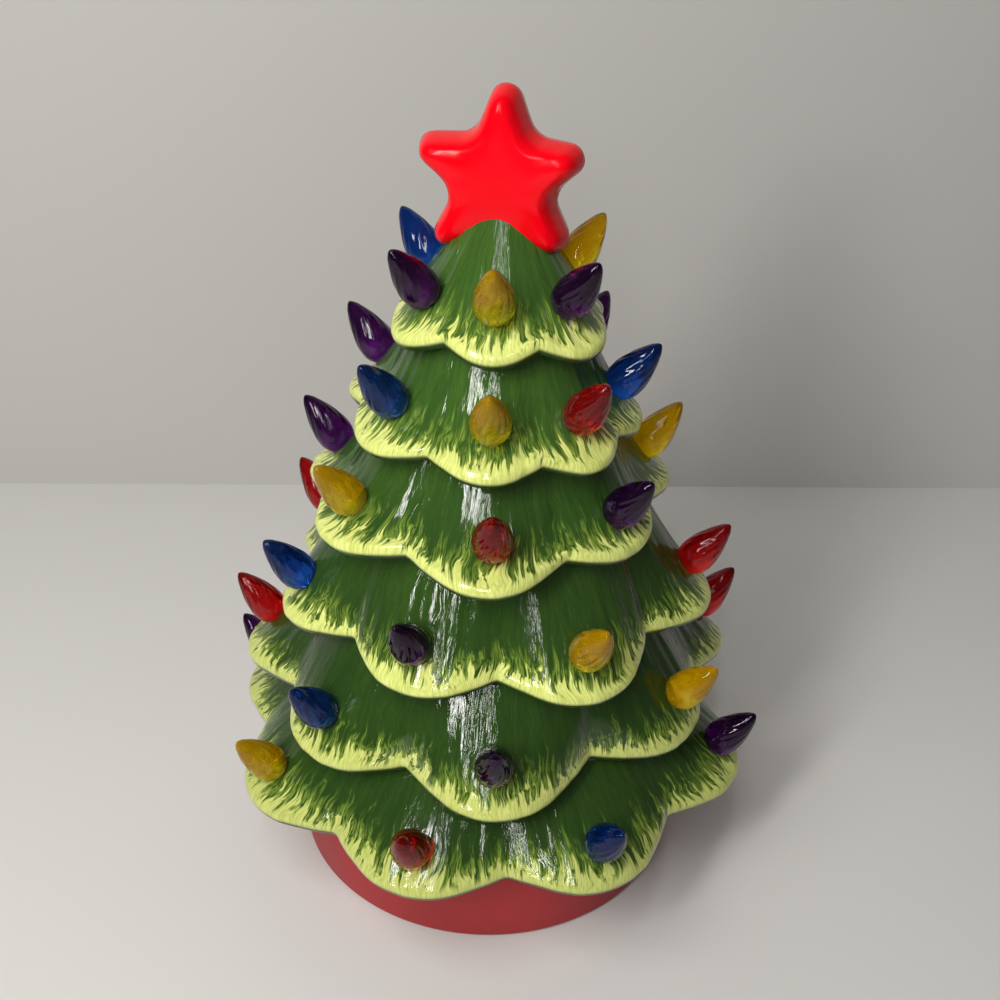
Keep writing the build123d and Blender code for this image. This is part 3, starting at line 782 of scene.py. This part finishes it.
def drum_section():
    """Radius and height of the drum's corners, over its top from the wire hole and back inside its wall."""
    plateau_top = BASE_HEIGHT + PLATEAU_HEIGHT
    spigot_inner, spigot_top = SPIGOT_OUTER - SPIGOT_WALL, BASE_HEIGHT + SPIGOT_HEIGHT
    base_inner, ceiling = BASE_RADIUS - BASE_WALL, BASE_HEIGHT - BASE_WALL
    plateau_inner, plateau_ceiling = PLATEAU_RADIUS - HUB_WALL, plateau_top - BASE_WALL
    hub_inner, hub_ceiling = HUB_RADIUS - HUB_WALL, BOARD_FLOOR - HUB_WALL
    return (
        (WIRE_HOLE_RADIUS, BOARD_FLOOR),
        (BOARD_SEAT_RADIUS, BOARD_FLOOR),
        (BOARD_SEAT_RADIUS, HUB_TOP),
        (HUB_RADIUS, HUB_TOP),
        (HUB_RADIUS, plateau_top),
        (PLATEAU_RADIUS, plateau_top),
        (PLATEAU_RADIUS, BASE_HEIGHT),
        (spigot_inner, BASE_HEIGHT),
        (spigot_inner, spigot_top),
        (SPIGOT_OUTER, spigot_top),
        (SPIGOT_OUTER, BASE_HEIGHT),
        (BASE_RADIUS, BASE_HEIGHT),
        (BASE_RADIUS, SKIRT_FOOT),
        (base_inner, SKIRT_FOOT),
        (base_inner, ceiling),
        (plateau_inner, ceiling),
        (plateau_inner, plateau_ceiling),
        (hub_inner, plateau_ceiling),
        (hub_inner, hub_ceiling),
        (WIRE_HOLE_RADIUS, hub_ceiling),
    )


def base_material():
    """Satin red glaze, faintly mottled."""
    material, tree, shader = new_material("base_glaze_look")
    place = object_place(tree)
    mottle = noise(tree, place, 45.0, 4.0)
    tree.links.new(mix(tree, ramp(tree, mottle, 0.3, 0.7), *BASE_TONES), shader.inputs["Base Color"])
    tree.links.new(ramp(tree, mottle, 0.3, 0.7, 0.42, 0.55), shader.inputs["Roughness"])
    bump(tree, shader, noise(tree, place, 320.0, 3.0), 0.12, 0.0004)
    return material


def make_base():
    """The round drum with eased corners."""
    corners = [np.array(corner) for corner in drum_section()]
    section = rounded(corners, [DRUM_EASE] * len(corners), 5)
    points = []
    for turn in np.arange(DRUM_COLUMNS) * 2 * math.pi / DRUM_COLUMNS:
        points += [(r * math.cos(turn) * MM, r * math.sin(turn) * MM, z * MM) for r, z in section]
    faces = grid_faces(DRUM_COLUMNS, len(section), close_rows=True)
    mesh = smooth_mesh("round_base", points, faces, base_material())
    piece("round_base", mesh, "base", "base_drum")


make_base()

# Small pieces that keep their solids


def plain_look(name, low, high, rough, scale, metal=0.0):
    """Material with two close tones, a grain and a roughness that varies with it."""
    material, tree, shader = new_material(name)
    place = object_place(tree)
    grain = noise(tree, place, scale, 3.0)
    tree.links.new(mix(tree, ramp(tree, grain, 0.3, 0.7), low, high), shader.inputs["Base Color"])
    tree.links.new(ramp(tree, grain, 0.3, 0.7, rough * 0.85, rough * 1.15), shader.inputs["Roughness"])
    shader.inputs["Metallic"].default_value = metal
    bump(tree, shader, noise(tree, place, scale * 4, 2.0), 0.08, 0.0002)
    return material


def lens_look():
    """Slightly hazy clear lens."""
    material, tree, shader = new_material("lamp_look")
    haze = noise(tree, object_place(tree), 400.0, 2.0)
    colour = mix(tree, ramp(tree, haze, 0.3, 0.7), (0.80, 0.78, 0.68), (0.90, 0.88, 0.80))
    tree.links.new(colour, shader.inputs["Base Color"])
    tree.links.new(ramp(tree, haze, 0.3, 0.7, 0.05, 0.12), shader.inputs["Roughness"])
    shader.inputs["Transmission Weight"].default_value = 0.7
    return material


LOOKS = {
    "cover_plastic": plain_look("cover_look", (0.62, 0.61, 0.58), (0.70, 0.69, 0.66), 0.5, 300.0),
    "cell_wrap": plain_look("cell_look", (0.05, 0.055, 0.06), (0.09, 0.095, 0.10), 0.25, 200.0),
    "contact_metal": plain_look("contact_look", (0.60, 0.58, 0.54), (0.72, 0.70, 0.66), 0.3, 500.0, 1.0),
    "switch_plastic": plain_look("switch_look", (0.02, 0.02, 0.02), (0.04, 0.04, 0.04), 0.45, 400.0),
    "board_laminate": plain_look("board_look", (0.62, 0.62, 0.58), (0.70, 0.70, 0.66), 0.4, 300.0),
    "wire_cover": plain_look("wire_look", (0.10, 0.01, 0.01), (0.16, 0.02, 0.02), 0.45, 300.0),
    "screw_steel": plain_look("screw_look", (0.48, 0.48, 0.48), (0.60, 0.60, 0.60), 0.3, 500.0, 1.0),
    "foot_rubber": plain_look("foot_look", (0.02, 0.02, 0.02), (0.035, 0.035, 0.035), 0.8, 500.0),
    "lamp_lens": lens_look(),
}
for entry in frame["record"]["subparts"]:
    node = nodes[entry["node"]]
    if not node.hide_render:
        for holder in node.material_slots:
            holder.material = LOOKS[entry["material_slot"]]

# Stage, light and camera, in metres and degrees

scene.view_settings.view_transform = "Standard"
STAGE_REACH = 3.0
STAGE_ROUGHNESS = 0.8
FLOOR_TINT = (0.72, 0.71, 0.69)
WALL_TINT = (0.54, 0.53, 0.51)
WALL_Y = 0.202
WALL_SLOPE = 0.057
WALL_HEIGHT = 2.0
WORLD_STRENGTH = 0.08
LAMP_TINT = (1.0, 0.985, 0.96)
CAMERA_PLACE = (0.0015, -0.2823, 0.2665)
CAMERA_PITCH = 29.5
CAMERA_ROLL = 1.86
CAMERA_LENS = 43.2
CAMERA_SENSOR = 36.0
CAMERA_CLIP = 0.01


def flat_stage(name, corners, tint, one_sided=False):
    """A stage surface; a one-sided one is clear from behind."""
    mesh = bpy.data.meshes.new(name)
    mesh.from_pydata(corners, [], [(0, 1, 2, 3)])
    material, tree, shader = new_material(f"{name}_look")
    shader.inputs["Base Color"].default_value = (*tint, 1.0)
    shader.inputs["Roughness"].default_value = STAGE_ROUGHNESS
    if one_sided:
        back = tree.nodes.new("ShaderNodeNewGeometry").outputs["Backfacing"]
        clear = tree.nodes.new("ShaderNodeBsdfTransparent")
        either = tree.nodes.new("ShaderNodeMixShader")
        tree.links.new(back, either.inputs["Fac"])
        tree.links.new(shader.outputs["BSDF"], either.inputs[1])
        tree.links.new(clear.outputs["BSDF"], either.inputs[2])
        tree.links.new(either.outputs["Shader"], tree.nodes["Material Output"].inputs["Surface"])
    mesh.materials.append(material)
    item = bpy.data.objects.new(name, mesh)
    scene.collection.objects.link(item)
    return item


def make_stage():
    """A pale floor, and a wall behind the tree that casts no shadow."""
    reach = STAGE_REACH
    corners = [(-reach, -reach, 0), (reach, -reach, 0), (reach, reach, 0), (-reach, reach, 0)]
    flat_stage("floor", corners, FLOOR_TINT)
    left, right = (-reach, WALL_Y - WALL_SLOPE * reach), (reach, WALL_Y + WALL_SLOPE * reach)
    corners = [(*left, 0), (*right, 0), (*right, WALL_HEIGHT), (*left, WALL_HEIGHT)]
    wall = flat_stage("wall", corners, WALL_TINT, one_sided=True)
    wall.visible_shadow = False


def lamp(name, place, aim, width, depth, power, mirrored=True):
    """A panel light; one that isn't mirrored leaves no highlight in a gloss."""
    data = bpy.data.lights.new(name, "AREA")
    data.shape = "RECTANGLE"
    data.size, data.size_y = width, depth
    data.energy = power
    data.color = LAMP_TINT
    item = bpy.data.objects.new(name, data)
    scene.collection.objects.link(item)
    item.location = place
    item.rotation_euler = (Vector(aim) - Vector(place)).to_track_quat("-Z", "Y").to_euler()
    item.visible_glossy = mirrored


def make_lights():
    """A dim even world, a window on the left, a tall strip in front and a soft fill."""
    world = bpy.data.worlds.new("studio")
    scene.world = world
    world.use_nodes = True
    background = world.node_tree.nodes["Background"]
    background.inputs["Color"].default_value = (1.0, 1.0, 1.0, 1.0)
    background.inputs["Strength"].default_value = WORLD_STRENGTH
    lamp("window_panel", (-0.33, -0.52, 0.50), (0, 0, 0.12), width=0.10, depth=0.38, power=3.1)
    lamp("front_panel", (-0.06, -0.50, 0.58), (0, 0, 0.14), width=0.035, depth=0.60, power=1.4)
    lamp("soft_panel", (-0.22, -0.22, 0.50), (0, 0, 0.08), width=0.20, depth=0.20, power=0.7, mirrored=False)


def make_camera():
    """The camera of the photo's view."""
    camera = bpy.data.cameras.new("camera")
    camera.sensor_width = CAMERA_SENSOR
    camera.lens = CAMERA_LENS
    camera.clip_start = CAMERA_CLIP
    viewer = bpy.data.objects.new("camera", camera)
    scene.collection.objects.link(viewer)
    viewer.matrix_world = (
        Matrix.Translation(CAMERA_PLACE)
        @ Matrix.Rotation(math.radians(90 - CAMERA_PITCH), 4, "X")
        @ Matrix.Rotation(math.radians(CAMERA_ROLL), 4, "Z")
    )
    scene.camera = viewer


make_stage()
make_lights()
make_camera()
